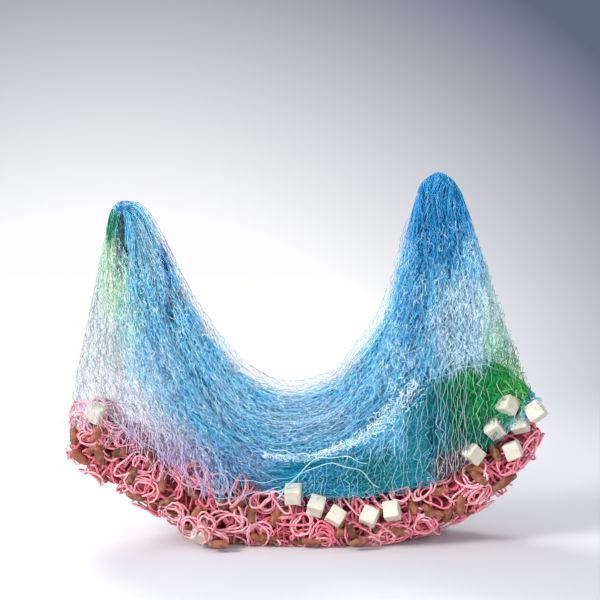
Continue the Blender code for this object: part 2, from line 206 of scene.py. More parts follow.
HEAP_NETS = (
    (52, 84, 0.056, 0.052, 0.00036, 0.12, 1.00, 0.30, 2),
    (53, 88, 0.053, 0.049, 0.00036, 0.06, 1.00, 0.20, 2),
    (54, 90, 0.050, 0.047, 0.00038, 0.00, 1.00, 0.20, 2),
    (55, 90, -0.030, -0.018, 0.00038, 0.00, 1.00, 0.20, 2),
    (56, 90, -0.036, -0.022, 0.00036, 0.00, 1.00, 0.30, 2),
)
SKIRT_NETS = (
    (62, 34, 0.054, 0.030, 0.00036, 0.00, 1.00, 0.50, 2),
    (63, 34, 0.051, 0.027, 0.00038, 0.00, 1.00, 0.40, 2),
    (64, 34, -0.036, -0.030, 0.00036, 0.00, 1.00, 0.40, 2),
)
COARSE_NETS = ((65, 52, 0.063, 0.060, 0.00031, 0.00, 1.00, 1.90, 3),)
# Pieces: surface, layers, meshes along a thread, how far threads swing to their knots (1 is to their
# neighbours' knots), how much of the disorder below they show
NETS = {
    "net_left": ("left", LEFT_NETS, 31, 1.0, 1.0),
    "net_right": ("right", RIGHT_NETS, 32, 1.0, 1.0),
    "net_hammock": ("hammock", HAMMOCK_NETS, 62, 1.0, 1.0),
    "net_heap": ("heap", HEAP_NETS, 12, 1.0, 1.0),
    "net_coarse": ("coarse", COARSE_NETS, 7, 0.55, 0.35),
    "net_skirt": ("skirt", SKIRT_NETS, 26, 1.0, 1.0),
}
# Pale cords over the hammock's foot: x and z of their points, how far forward, radii, how pale
ARCHES = (
    ((-0.036, 0.072), (-0.010, 0.103), (0.029, 0.122), (0.071, 0.117), (0.106, 0.090)),
    ((-0.048, 0.079), (-0.018, 0.093), (0.015, 0.128), (0.057, 0.133), (0.090, 0.124)),
    ((-0.046, 0.146), (0.000, 0.137), (0.029, 0.140), (0.054, 0.152)),
    ((-0.150, 0.092), (-0.110, 0.074), (-0.075, 0.080), (-0.030, 0.090)),
    ((-0.120, 0.120), (-0.090, 0.102), (-0.050, 0.098), (0.010, 0.112)),
    ((0.183, 0.243), (0.215, 0.258), (0.243, 0.263), (0.270, 0.257), (0.300, 0.241)),
)
ARCH_DEPTH = 0.065
ARCH_RADIUS = (0.0008, 0.0007, 0.0005, 0.0006, 0.0005, 0.0003)
ARCH_SHADES = (1.7, 1.7, 1.7, 1.4, 1.4, 0.8)
# Painted shadow: the hollow below is a dark disc before the netting, standing for the shade in the peak's
# opening.
# The dark hollow at the tip of the left peak: x and z of its middle, half its width, how high it goes over
# its middle and how low under it, how far its rings stand forward as it closes. Threads that fall over it
HOLLOW = (-0.2490, 0.461)
HOLLOW_WIDE = 0.0075
HOLLOW_TALL = (0.012, 0.030)
HOLLOW_RINGS = ((1.0, 0.0), (0.7, 0.0010), (0.35, 0.0015))
HOOD_THREADS = 24
HOOD_RADIUS = 0.00026
# The frayed end of blue netting at the right: where it starts, its threads and their radius
TUFT = (0.292, 0.206)
TUFT_THREADS = 90
TUFT_RADIUS = 0.0004
# Threads that lie over the garland: first and last x, how many, how high they start and how low they end
FRINGES = (
    (-0.325, -0.240, 36, 0.040, 0.012),
    (-0.240, -0.100, 110, 0.060, 0.022),
)
FRINGE_DEPTH = (0.056, 0.030)  # how far forward they start, and how much further they end
FRINGE_RADIUS = 0.00034

# Short crumpled threads that catch the light: surface, depth at the foot and the peak, first and last u,
# first and last v, how many, how pale
# Painted highlights: these threads are painted pale and white as glints.
GLINTS = (
    ("left", 0.053, 0.025, 0.40, 0.98, 0.16, 0.92, 1100, 1.2),
    ("right", 0.053, 0.025, 0.06, 0.88, 0.16, 0.66, 1300, 1.3),
    ("hammock", 0.041, 0.022, 0.08, 0.95, 0.10, 0.92, 1500, 1.2),
)
GLINT_RADIUS = 0.00029

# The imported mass: surface, seed, columns, rows, depth at the foot and at the peak, first and last u
CORE_PARTS = (
    ("left", 81, 60, 50, 0.020, 0.006, 0.78, 0.98),
    ("right", 82, 120, 50, 0.020, 0.006, 0.14, 0.76),
    ("hammock", 83, 70, 120, 0.016, 0.008, 0.18, 0.97),
    ("heap", 84, 90, 16, 0.047, 0.043, 0.05, 0.97),
    ("skirt", 85, 24, 80, 0.046, 0.022, 0.02, 1.00),
    ("left", 91, 54, 44, -0.022, -0.006, 0.78, 0.98),
    ("right", 92, 100, 44, -0.022, -0.006, 0.14, 0.76),
    ("hammock", 93, 60, 110, -0.018, -0.008, 0.18, 0.97),
    ("heap", 94, 80, 14, -0.022, -0.014, 0.02, 0.97),
    ("skirt", 95, 20, 70, -0.024, -0.018, 0.02, 1.00),
)
PLEAT = 0.0032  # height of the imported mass's main pleats

# How unevenly the nets hang: knots astray, in shares of a mesh and in metres; threads drawn together;
# ripples and crumples, as shares of the width and in metres
STRAY_ACROSS = 0.55
STRAY_ALONG = 0.40
STRAY_DEPTH = 0.0018
BUNCHING = 0.07
RIPPLE = 0.016
CRUMPLE_ACROSS = 0.010
CRUMPLE_DEPTH = 0.0009

# Nests of cord on the garland that stand out: x, degrees round the hanks (0 front, 90 top), radius,
# turns, how far it is flattened, how far it stands over the hanks
NESTS = (
    (-0.276, -64, 0.023, 1.4, 0.80, 0.012),
    (-0.262, 40, 0.019, 4.5, 0.90, 0.006),
    (-0.300, 10, 0.016, 3.5, 0.80, 0.006),
    (-0.216, -14, 0.022, 4.0, 0.95, 0.007),
    (-0.171, -26, 0.020, 4.8, 0.90, 0.007),
    (-0.134, 46, 0.016, 3.8, 0.80, 0.006),
    (-0.104, -6, 0.028, 3.2, 0.70, 0.007),
    (-0.060, -20, 0.024, 3.0, 0.80, 0.006),
    (0.030, -34, 0.020, 3.0, 0.75, 0.006),
    (0.115, -24, 0.020, 3.2, 0.80, 0.006),
    (0.165, -20, 0.022, 3.0, 0.80, 0.006),
    (0.238, -12, 0.021, 4.2, 0.80, 0.006),
    (0.300, -28, 0.022, 2.6, 0.85, 0.006),
    (-0.146, -28, 0.017, 3.2, 0.90, 0.017),
    (-0.115, -30, 0.018, 3.2, 0.80, 0.017),
    (-0.130, -12, 0.017, 2.6, 0.70, 0.018),
    (-0.324, 58, 0.019, 3.2, 0.90, 0.019),
    (-0.288, 54, 0.019, 3.2, 0.90, 0.019),
    (-0.304, 40, 0.018, 2.8, 0.70, 0.020),
    (-0.304, 78, 0.018, 2.8, 0.70, 0.020),
    (-0.168, 44, 0.018, 2.2, 0.65, 0.026),
    (-0.136, 42, 0.019, 1.8, 0.60, 0.027),
    (-0.100, 44, 0.019, 1.8, 0.60, 0.025),
    (-0.064, 40, 0.019, 1.6, 0.50, 0.019),
    (-0.030, 38, 0.017, 1.5, 0.50, 0.016),
    (0.112, 46, 0.016, 1.6, 0.55, 0.015),
    (0.148, 44, 0.017, 2.2, 0.60, 0.018),
    (0.184, 42, 0.018, 2.2, 0.60, 0.018),
    (-0.132, -26, 0.013, 3.4, 0.85, 0.026),
    (-0.306, 60, 0.014, 3.2, 0.80, 0.026),
)
# Painted highlight: the named nests' shade, high, so they are painted pale.
NAMED_SHADE = 0.8
# Nests under and over the sinkers: count, lowest and highest lift, lowest and highest shade, a painted shade
# that is low on the lower nests and high on the upper ones
FRONT_NESTS = (
    (148, -0.005, 0.001, 0.00, 0.45),
    (104, 0.001, 0.009, 0.40, 1.15),
)
BACK_NESTS = (
    (60, -0.005, 0.001, 0.00, 0.45),
    (60, 0.001, 0.008, 0.30, 1.00),
)
NEST_POINTS = 60
NEST_TUCK = 0.010  # how deep both ends of a nest go into the hank
NEST_ENDS = (-0.332, 0.326)  # the least and the greatest x that a nest reaches
NEST_ROUND = 0.047  # how far from the garland's middle line nests are laid, for their size in degrees
CORD_RADIUS = 0.0016
CORD_SIDES = 5
HANK_ENDS = (-0.322, 0.318)  # the first and last x of the turns and the nests
HANK_TURNS = 70
TURN_POINTS = 24
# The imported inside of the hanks: rings, sides
CORE_RINGS = 90
CORE_SIDES = 28

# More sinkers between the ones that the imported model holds, and how far they stand over the hanks
MORE_SINKERS = 36
SINKER_LIFT = 0.003
SINKER_LENGTH = 0.028
SINKER_SIDES = 16
SINKER_BORE = 0.0015
# share of half the length, radius
SINKER_PROFILE = (
    (-1.00, 0.0030), (-0.97, 0.0037), (-0.85, 0.0045), (-0.62, 0.0055), (-0.30, 0.0061), (0.00, 0.0063),
    (0.30, 0.0062), (0.58, 0.0057), (0.82, 0.0047), (0.97, 0.0038), (1.00, 0.0031),
)
FLOAT_SIZE = 0.0230
FLOAT_BEVEL = 0.0026
FLOAT_HOLLOW = 0.02  # how far a face's middle sinks, as a share

ASKEW = (0.31, 0.87, 0.38)  # a way that no thread or cord starts along
ASKEW_SINKERS = (0.2, 0.9, 0.38)  # and one that no sinker lies along


def through(rows, count):
    """count points spaced evenly along the smooth curve through rows."""
    rows = np.array(rows, float)
    padded = np.vstack([2 * rows[0] - rows[1], rows, 2 * rows[-1] - rows[-2]])
    t = np.linspace(0, 1, 24, endpoint=False)[:, None]
    fine = []
    for before, start, end, after in zip(padded, padded[1:], padded[2:], padded[3:]):
        bend = 2 * before - 5 * start + 4 * end - after
        turn = 3 * start - before - 3 * end + after
        fine.append(start + 0.5 * t * (end - before + t * (bend + t * turn)))
    fine = np.vstack([*fine, rows[-1:]])
    run = np.concatenate([[0], np.cumsum(np.linalg.norm(np.diff(fine, axis=0), axis=1))])
    at = np.linspace(0, run[-1], count)
    return np.column_stack([np.interp(at, run, column) for column in fine.T])


def across(rows, u):
    """The rows' columns at places u, from 0 at the first row to 1 at the last, smoothly."""
    rows = np.array(rows, float)
    fine = through(np.column_stack([np.linspace(0, 8, len(rows)), rows]), 200)
    return [np.interp(u * 8, fine[:, 0], column) for column in fine.T[1:]]


def numbered(points):
    """The number of each point of a grid (..., 3), in the shape of the grid."""
    return np.arange(points[..., 0].size).reshape(points.shape[:-1])


def quads_of(number, closed=False):
    """Quads between neighbours in a grid of point numbers (..., m, k); a closed one joins its rows' ends."""
    here = number if closed else number[..., :-1]
    ahead = np.roll(number, -1, axis=-1) if closed else number[..., 1:]
    corners = (here[..., :-1, :], ahead[..., :-1, :], ahead[..., 1:, :], here[..., 1:, :])
    return np.stack(corners, -1).reshape(-1, 4)


def mesh_piece(name, points, quads, finish, caps=np.empty((0, 3), int)):
    """A smooth mesh from a grid of points (..., 3), with quads (n, 4) and caps (n, k) of their numbers."""
    mesh = bpy.data.meshes.new(name)
    mesh.vertices.add(points.size // 3)
    mesh.vertices.foreach_set("co", points.astype(np.float32).ravel())
    corners = np.concatenate([quads.ravel(), caps.ravel()]).astype(np.int32)
    counts = [4] * len(quads) + [caps.shape[1]] * len(caps)
    mesh.loops.add(len(corners))
    mesh.loops.foreach_set("vertex_index", corners)
    mesh.polygons.add(len(counts))
    mesh.polygons.foreach_set("loop_start", np.cumsum([0, *counts[:-1]]).astype(np.int32))
    mesh.polygons.foreach_set("use_smooth", np.full(len(counts), True))
    mesh.update(calc_edges=True)
    mesh.materials.append(finish)
    made = bpy.data.objects.new(name, mesh)
    bpy.context.scene.collection.objects.link(made)
    return made


def set_shades(piece, shades, number):
    """A shade for all the points of each line, whose numbers are a row (m, k) of number."""
    made = piece.data.attributes.new("shade", "FLOAT", "POINT")
    values = np.broadcast_to(np.reshape(shades, (-1, 1, 1)), number.shape)
    made.data.foreach_set("value", values.astype(np.float32).ravel())


def set_map(piece, name, places):
    """A UV map with this place (..., 2) for each point."""
    numbers = np.empty(len(piece.data.loops), np.int32)
    piece.data.loops.foreach_get("vertex_index", numbers)
    layer = piece.data.uv_layers.new(name=name, do_init=False)
    layer.uv.foreach_set("vector", places.reshape(-1, 2)[numbers].astype(np.float32).ravel())


def unit(ways):
    """The same ways (..., k), each with length 1."""
    return ways / (np.linalg.norm(ways, axis=-1, keepdims=True) + 1e-12)


def frames(lines):
    """Two ways across each line (n, m, 3) at each of its points, that turn with it and never jump."""
    ways = unit(np.gradient(lines, axis=1))
    first = np.cross(ways[:, 0], ASKEW)
    side = np.empty_like(lines)
    for k in range(lines.shape[1]):
        first = unit(first - (first * ways[:, k]).sum(1)[:, None] * ways[:, k])
        side[:, k] = first
    return side, np.cross(ways, side)


def front_map(piece, points):
    """The map that the export keeps: each point's place as seen from the front."""
    set_map(piece, "OFBake", np.stack([points[..., 0] / 0.8 + 0.5, points[..., 2] / 0.8 + 0.01], -1))


def tubes(name, lines, radii, sides, finish, shades, flat_map=False):
    """A mesh of closed tubes along lines (n, m, 3), with a radius and a shade for each line."""
    side, over = frames(lines)
    angles = 2 * pi * np.arange(sides) / sides
    ring = np.cos(angles)[:, None] * side[:, :, None] + np.sin(angles)[:, None] * over[:, :, None]
    points = lines[:, :, None] + np.reshape(radii, (-1, 1, 1, 1)) * ring
    number = numbered(points)
    caps = np.concatenate([number[:, 0, ::-1], number[:, -1]])
    piece = mesh_piece(name, points, quads_of(number, closed=True), finish, caps)
    set_shades(piece, shades, number)
    if flat_map:
        front_map(piece, points)
    else:
        run = np.cumsum(np.linalg.norm(np.diff(lines, axis=1, prepend=lines[:, :1]), axis=2), axis=1)
        set_map(piece, "lay", np.stack(np.broadcast_arrays(run[:, :, None], np.arange(sides) / sides), -1))
    return piece


def ribbons(name, lines, radii, rng, finish, shades):
    """A mesh of flat threads along lines (n, m, 3), each turned its own way and twisting slowly."""
    count, steps, _ = lines.shape
    side, over = frames(lines)
    start = rng.uniform(-0.9, 0.9, (count, 1))
    turn = start + 0.7 * np.sin(np.linspace(0, 9, steps) + rng.uniform(0, 6, (count, 1)))
    reach = np.cos(turn)[:, :, None] * side + np.sin(turn)[:, :, None] * over
    reach = reach * np.reshape(radii, (-1, 1, 1))
    points = np.stack([lines - reach, lines + reach], axis=2)
    piece = mesh_piece(name, points, quads_of(numbered(points)), finish)
    set_shades(piece, shades, numbered(points))
    front_map(piece, points)
    return piece


# Surfaces that the netting hangs in. Each gives x, y, z at u across and v along its strands


def fan_surface(rows, foot_depth, peak_depth):
    def place(u, v):
        tip_x, tip_z, foot_x, foot_z, bow_x, bow_z = across(rows, u)
        bow = np.sin(pi * v)
        x = tip_x + (foot_x - tip_x) * v + bow_x * bow
        z = tip_z + (foot_z - tip_z) * v + bow_z * bow
        y = -(peak_depth + (foot_depth - peak_depth) * np.sin(pi / 2 * v) ** 0.9)
        y = y * np.sqrt(np.clip((0.004 + v) / 0.12, 0, 1)) * (1 - 0.3 * np.clip((v - 0.93) / 0.07, 0, 1))
        return np.stack([x, y, z], -1)

    return place


def hammock_surface(foot_depth, peak_depth):
    ridge = through(RIDGE, 161)
    lowest = through(LOWEST, 161)
    at = np.linspace(0, 1, 161)

    def place(u, v):
        top_x, top_z = (np.interp(v, at, column) for column in ridge.T)
        low_x, low_z = (np.interp(v, at, column) for column in lowest.T)
        x = top_x + (low_x - top_x) * u
        z = top_z + (low_z - top_z) * u
        forward = 0.35 + 0.65 * np.sin(pi / 2 * np.minimum(1, 1.6 * u + 0.15))
        y = -(peak_depth + (foot_depth - peak_depth) * np.sin(pi * v)) * forward
        return np.stack([x, y, z], -1)

    return place


def surface(kind, foot_depth, peak_depth):
    if kind == "hammock":
        return hammock_surface(foot_depth, peak_depth)
    return fan_surface(FANS[kind], foot_depth, peak_depth)


def waves(rng, count, low, high, share):
    """Random waves: how many across, their start, how they drift along, and their height."""
    return [
        (k, rng.uniform(0, 2 * pi), rng.uniform(-2.5, 2.5), share * rng.uniform(0.4, 1) / k)
        for k in rng.uniform(low, high, count)
    ]


def waved(u, v, rows):
    return sum(h * np.sin(2 * pi * k * u + start + drift * v) for k, start, drift, h in rows)


def crumpled(u, v, rng, count, height):
    """Random lumps across and along a surface, most under this height."""
    rows = zip(rng.uniform(4, 16, count), rng.uniform(3, 11, count), rng.uniform(0, 6, (count, 2)))
    return sum(height * np.sin(2 * pi * k * u + a) * np.sin(2 * pi * m * v + b) for k, m, (a, b) in rows)


def folded(kind, u):
    """The share of its depth that a surface has at u: it turns to the back at its outer edge."""
    if kind not in OUTER_EDGES:
        return 1.0
    return np.clip(abs(np.clip(u, 0, 1) - OUTER_EDGES[kind]) / EDGE_FOLD, 0, 1) ** 0.7


def net_lines(kind, place, rng, threads, meshes, ends, spread, calm):
    """Zigzag threads on a surface, between its first and last u."""
    rows = 2 * meshes + 1
    v, j = np.meshgrid(np.linspace(0, 1, rows), np.arange(threads), indexing="xy")
    i = np.broadcast_to(np.arange(rows), v.shape)
    knot = j + (i + j) % 2
    strays = rng.normal(0, 1, (3, rows, threads + 1))[:, i, knot]
    middle = (j + 0.5) * (1 - spread)
    u = (middle + spread * knot + calm * STRAY_ACROSS * strays[0]) / threads
    v = np.clip(v + STRAY_ALONG * strays[1] / rows, 0, 1)
    u = u + calm * (waved(u, v, waves(rng, 5, 3, 17, BUNCHING)) + crumpled(u, v, rng, 6, CRUMPLE_ACROSS))
    first, last = ends
    lines = place(first + (last - first) * np.clip(u, 0, 1), v)
    lines[..., 1] *= folded(kind, u)
    loose = np.minimum(1, 4 * v + 0.25)
    depth = waved(u, v, waves(rng, 6, 4, 20, RIPPLE)) + crumpled(u, v, rng, 6, CRUMPLE_DEPTH)
    lines[..., 1] += loose * (depth + STRAY_DEPTH * strays[2])
    return lines


def net_piece(name, finish):
    """The layers of one net in one mesh."""
    kind, rows, meshes, spread, calm = NETS[name]
    pieces = []
    for seed, threads, foot_depth, peak_depth, radius, first, last, pale, sides in rows:
        rng = np.random.default_rng(seed)
        place = surface(kind, foot_depth, peak_depth)
        lines = net_lines(kind, place, rng, threads, meshes, (first, last), spread, calm)
        radii = radius * rng.uniform(0.75, 1.3, threads)
        shades = np.clip(pale + rng.normal(0, 0.35, threads), 0, 2)
        if sides > 2:
            pieces.append(tubes(name, lines, radii, sides, finish, shades, flat_map=True))
        else:
            pieces.append(ribbons(name, lines, radii, rng, finish, shades))
    piece = joined(pieces)
    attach(piece, "root")
    return piece


# Materials

MIX_FACTOR, MIX_A, MIX_B, MIX_OUT = 0, 6, 7, 2


def add(tree, kind, inputs=(), **settings):
    """A node with these settings; inputs pairs a socket's name or number with a value or a socket."""
    made = tree.nodes.new("ShaderNode" + kind)
    for name, value in settings.items():
        setattr(made, name, value)
    for name, value in inputs:
        if isinstance(value, bpy.types.NodeSocket):
            tree.links.new(value, made.inputs[name])
        else:
            made.inputs[name].default_value = value
    return made


def linear(colour):
    """A colour of sRGB numbers from 0 to 255, as the shaders take it."""
    parts = [c / 255 for c in colour]
    return (*(c / 12.92 if c <= 0.04045 else ((c + 0.055) / 1.055) ** 2.4 for c in parts), 1)


def new_material(name, **inputs):
    """A material with a Principled shader: the material, its tree, the shader and the place on the piece."""
    made = bpy.data.materials.new(name)
    made.use_nodes = True
    shader = made.node_tree.nodes["Principled BSDF"]
    for socket, value in inputs.items():
        shader.inputs[socket.replace("_", " ")].default_value = value
    place = add(made.node_tree, "TexCoord").outputs["Object"]
    return made, made.node_tree, shader, place


def finished(tree, shader, colour, roughness=None, bump=None):
    """Gives the shader its colour, its roughness and its bump, which is a strength, a depth and heights."""
    tree.links.new(colour, shader.inputs["Base Color"])
    if roughness is not None:
        tree.links.new(roughness, shader.inputs["Roughness"])
    if bump is not None:
        rows = zip(("Strength", "Distance", "Height"), bump)
        tree.links.new(add(tree, "Bump", rows).outputs[0], shader.inputs["Normal"])


def ramp(tree, value, low, high, to_low=0.0, to_high=1.0):
    rows = (("Value", value), ("From Min", low), ("From Max", high), ("To Min", to_low), ("To Max", to_high))
    return add(tree, "MapRange", rows, interpolation_type="SMOOTHSTEP").outputs[0]


def mix(tree, factor, first, second, blend="MIX"):
    """One colour over another. Three numbers are a colour in sRGB, from 0 to 255."""
    first, second = (linear(c) if isinstance(c, tuple) else c for c in (first, second))
    rows = ((MIX_FACTOR, factor), (MIX_A, first), (MIX_B, second))
    return add(tree, "Mix", rows, data_type="RGBA", blend_type=blend).outputs[MIX_OUT]


def vector_math(tree, operation, first, second):
    return add(tree, "VectorMath", ((0, first), (1, second)), operation=operation).outputs[0]


def shade_of(tree):
    """The shade value of each thread, turn or sinker: a thread's or sinker's own tone, and on the cord a
    painted shade, low on the turns and the lower nests.
    """
    return add(tree, "Attribute", attribute_name="shade").outputs["Fac"]


def tinted(tree, colour, other, value, low, high, most=1.0):
    """A colour with another one laid over it, up to this share, as the value goes from low to high."""
    return mix(tree, ramp(tree, value, low, high, 0.0, most), colour, other)


def scaled(tree, vector, scale):
    return add(tree, "Mapping", (("Vector", vector), ("Scale", scale))).outputs[0]


def noise(tree, vector, scale, detail=3.0, distortion=0.0):
    """Noise from 0 to 1 at one scale, or at three, which draws it out."""
    if isinstance(scale, tuple):
        vector, scale = scaled(tree, vector, scale), 1.0
    rows = (("Vector", vector), ("Scale", scale), ("Detail", detail), ("Distortion", distortion))
    return add(tree, "TexNoise", rows).outputs["Fac"]


# Dyes, and painted shade among them: where each is laid on the netting. x, z, reach in x, reach in z,
# strength, colour
BASE_BLUE = (84, 200, 243)
DYES_AND_PAINTED_SHADE = (
    (-0.150, 0.360, 0.022, 0.060, 0.50, (130, 186, 240)),
    (-0.192, 0.408, 0.011, 0.034, 0.90, (0, 106, 190)),
    (-0.215, 0.425, 0.024, 0.060, 0.70, (156, 218, 242)),
    (-0.290, 0.300, 0.060, 0.230, 1.00, (158, 172, 180)),
    (-0.264, 0.385, 0.030, 0.085, 0.80, (188, 234, 160)),
    (-0.238, 0.318, 0.030, 0.060, 0.60, (140, 212, 200)),
    (-0.265, 0.450, 0.011, 0.030, 1.00, (10, 144, 104)),
    # Painted shade: these two narrow dark strips stand in for the shadow in folds of the left fan.
    (-0.251, 0.415, 0.007, 0.050, 0.95, (0, 84, 100)),
    (-0.186, 0.345, 0.006, 0.055, 0.80, (0, 96, 150)),
    (-0.268, 0.180, 0.085, 0.080, 0.95, (200, 190, 206)),
    (-0.205, 0.150, 0.070, 0.050, 0.80, (212, 184, 214)),
    (-0.165, 0.115, 0.070, 0.050, 0.60, (190, 152, 206)),
    (-0.300, 0.165, 0.040, 0.030, 0.70, (232, 170, 196)),
    (-0.245, 0.140, 0.045, 0.032, 0.75, (232, 156, 196)),
    (-0.180, 0.104, 0.060, 0.030, 0.80, (230, 150, 194)),
    (-0.195, 0.235, 0.030, 0.080, 0.50, (190, 218, 242)),
    (-0.078, 0.105, 0.058, 0.050, 0.75, (116, 164, 220)),
    (0.000, 0.185, 0.080, 0.040, 0.60, (168, 202, 230)),
    (0.035, 0.100, 0.110, 0.045, 1.00, (24, 162, 196)),
    (0.120, 0.100, 0.070, 0.050, 0.90, (6, 144, 156)),
    (0.184, 0.490, 0.074, 0.135, 1.00, (0, 152, 212)),
    (0.150, 0.350, 0.030, 0.090, 0.65, (20, 164, 224)),
    (0.226, 0.305, 0.058, 0.092, 0.95, (190, 226, 246)),
    (0.285, 0.330, 0.045, 0.110, 0.85, (176, 226, 208)),
    (0.282, 0.285, 0.034, 0.050, 0.70, (110, 214, 150)),
    (0.240, 0.210, 0.085, 0.055, 1.00, (0, 166, 88)),
    (0.286, 0.245, 0.046, 0.044, 0.90, (10, 168, 70)),
    (0.208, 0.205, 0.030, 0.046, 0.80, (0, 140, 112)),
    (0.240, 0.150, 0.075, 0.040, 0.90, (0, 128, 86)),
    (0.300, 0.230, 0.034, 0.034, 0.90, (64, 184, 50)),
    (0.172, 0.165, 0.042, 0.090, 0.85, (8, 142, 158)),
    # Partly the brown of what lies behind, partly painted shade: the dark patch at the right's foot.
    (0.214, 0.114, 0.044, 0.040, 0.95, (126, 86, 84)),
    (-0.110, 0.205, 0.050, 0.040, 0.40, (176, 218, 242)),
    (-0.250, 0.480, 0.020, 0.016, 0.80, (40, 130, 190)),
    *((x, z, 0.024, 0.024, 0.80, (160, 178, 192)) for x, z in RIDGE[2:9]),
)
# Painted shade and highlight: the dye is multiplied by the first to darken it as painted shade, paled
# towards the second as painted highlight and as a thread's own paleness, and the third is the white of
# painted glints and of the whitest threads.
DEEPER = (110, 172, 190)
PALER = (200, 240, 255)
GLINT = (246, 251, 255)
# Other colours. Pairs are the two ends of what changes from place to place or from piece to piece
SALMON = (238, 112, 134), (248, 146, 158)
ROSE = (242, 108, 136), (250, 148, 164)
# Painted highlight and painted shade on the cord, then painted shade in the grooves of its lay.
CORD_HIGHLIGHT = (254, 198, 204)
CORD_SHADE = (186, 44, 80)
CORD_GROOVE_SHADE = (176, 80, 100)
CLAY = (88, 54, 44), (144, 86, 60)
CLAY_WORN = (182, 120, 84)
CLAY_PIT = (76, 46, 34)
FOAM = (196, 189, 174), (211, 205, 190)
FOAM_DIRT = (150, 140, 130)
HOLLOW_SHADOW = (10, 34, 42), (40, 110, 120)
HANK_SHADOW = (84, 30, 36), (176, 70, 84)


def dyed(tree, place):
    """The netting's colour at a place, as laid on by the dyes and the painted shade among them, with their
    edges drawn out along its fall.
    """
    streaks = noise(tree, place, (70, 70, 9)).node.outputs["Color"]
    moved = vector_math(tree, "SUBTRACT", streaks, (0.5, 0.5, 0.5))
    moved = vector_math(tree, "MULTIPLY", moved, (0.036, 0.0, 0.06))
    moved = vector_math(tree, "ADD", place, moved)
    colour = BASE_BLUE
    for x, z, reach_x, reach_z, strength, dye in DYES_AND_PAINTED_SHADE:
        rows = (("Vector", moved), ("Location", (x, 0, z)), ("Scale", (reach_x, 1000, reach_z)))
        near = add(tree, "Mapping", rows, vector_type="TEXTURE").outputs[0]
        ball = add(tree, "TexGradient", (("Vector", near),), gradient_type="SPHERICAL").outputs["Fac"]
        colour = tinted(tree, colour, dye, ball, 0.0, 0.45, strength)
    return colour


def faded(tree, dye, least, most):
    """How far a dyed thread pales: the least share where the dye is deepest, the most where it is light."""
    red = add(tree, "SeparateColor", ((0, dye),)).outputs[0]
    return ramp(tree, red, 0.0, 0.09, least, most)


def thread_material():
    """Monofilament in its dyes, with painted light: painted shade in deeper short dashes, painted highlights
    in paler ones and painted glints in white and faint tints; each thread's own shade makes it paler, and
    white above 1.2.
    """
    made, tree, shader, place = new_material("netting_thread", Roughness=0.4, Specular_IOR_Level=0.2)
    shade = shade_of(tree)
    dye = dyed(tree, place)
    dashes = noise(tree, place, (300, 60, 200))
    glint_flecks = noise(tree, place, (260, 60, 170), 4.0)
    # Painted shade and highlights: the dye darkened in some dashes and paled in others, and white glints in
    # sparse flecks.
    deep = mix(tree, 1.0, dye, DEEPER, "MULTIPLY")
    pale = mix(tree, faded(tree, dye, 0.08, 0.50), dye, PALER)
    glint = mix(tree, 0.10, GLINT, glint_flecks.node.outputs["Color"])
    colour = tinted(tree, dye, deep, dashes, 0.50, 0.34, 0.65)
    colour = tinted(tree, colour, pale, dashes, 0.50, 0.68, 0.90)
    colour = tinted(tree, colour, pale, shade, 0.40, 1.0, 0.65)
    # Painted glints too: above 1.2 a thread's own shade turns it white, as on the band and the stray
    # threads.
    white = mix(tree, faded(tree, dye, 0.55, 1.00), pale, GLINT)
    colour = tinted(tree, colour, white, shade, 1.2, 2.0, 0.90)
    glinting = mix(tree, faded(tree, dye, 0.20, 0.80), colour, glint)
    finished(tree, shader, tinted(tree, colour, glinting, glint_flecks, 0.58, 0.68))
    return made


def core_material():
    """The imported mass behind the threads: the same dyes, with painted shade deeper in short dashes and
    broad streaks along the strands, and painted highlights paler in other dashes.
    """
    made, tree, shader, place = new_material("netting_core", Roughness=0.5, Specular_IOR_Level=0.15)
    flow = add(tree, "UVMap", uv_map="flow").outputs[0]
    dye = dyed(tree, place)
    fine = noise(tree, flow, (700, 70, 1), distortion=0.6)
    broad_painted_shade = noise(tree, flow, (110, 9, 1), distortion=0.8)
    deep = mix(tree, 1.0, dye, DEEPER, "MULTIPLY")
    pale = mix(tree, faded(tree, dye, 0.06, 0.40), dye, PALER)
    # Painted highlights in the pale fine dashes; painted shade in the deep fine dashes and the broad
    # streaks.
    colour = tinted(tree, dye, pale, fine, 0.48, 0.68)
    colour = tinted(tree, colour, deep, fine, 0.50, 0.32, 0.90)
    colour = tinted(tree, colour, deep, broad_painted_shade, 0.48, 0.28, 0.80)
    finished(tree, shader, colour, bump=(0.8, 0.0010, fine))
    return made


def cord_material():
    """Pink laid cord, salmon at the left and rose at the right in patches: painted highlight where a piece's
    shade is high, painted shade where it is low, and painted shade in the grooves between its three twisted
    strands.
    """
    made, tree, shader, place = new_material("pink_cord", Specular_IOR_Level=0.55, Sheen_Weight=0.15)
    lay = scaled(tree, add(tree, "UVMap", uv_map="lay").outputs[0], (150, 3, 1))
    shade = shade_of(tree)
    rows = (("Vector", lay), ("Scale", 0.314), ("Distortion", 0.3))
    strands = add(tree, "TexWave", rows, bands_direction="DIAGONAL", wave_profile="SIN").outputs["Fac"]
    patches = noise(tree, place, 45)
    aside = add(tree, "SeparateXYZ", ((0, place),)).outputs["X"]
    salmon = tinted(tree, *SALMON, patches, 0.35, 0.65)
    rose = tinted(tree, *ROSE, patches, 0.35, 0.65)
    colour = tinted(tree, salmon, rose, aside, -0.15, 0.25)
    colour = tinted(tree, colour, CORD_HIGHLIGHT, shade, 0.50, 1.0, 0.75)
    colour = tinted(tree, colour, CORD_SHADE, shade, 0.25, 0.0, 0.70)
    colour = mix(tree, ramp(tree, strands, 0.0, 0.45, 0.55, 0.0), colour, CORD_GROOVE_SHADE, "MULTIPLY")
    finished(tree, shader, colour, ramp(tree, patches, 0.3, 0.7, 0.5, 0.34), (0.8, 0.0004, strands))
    return made


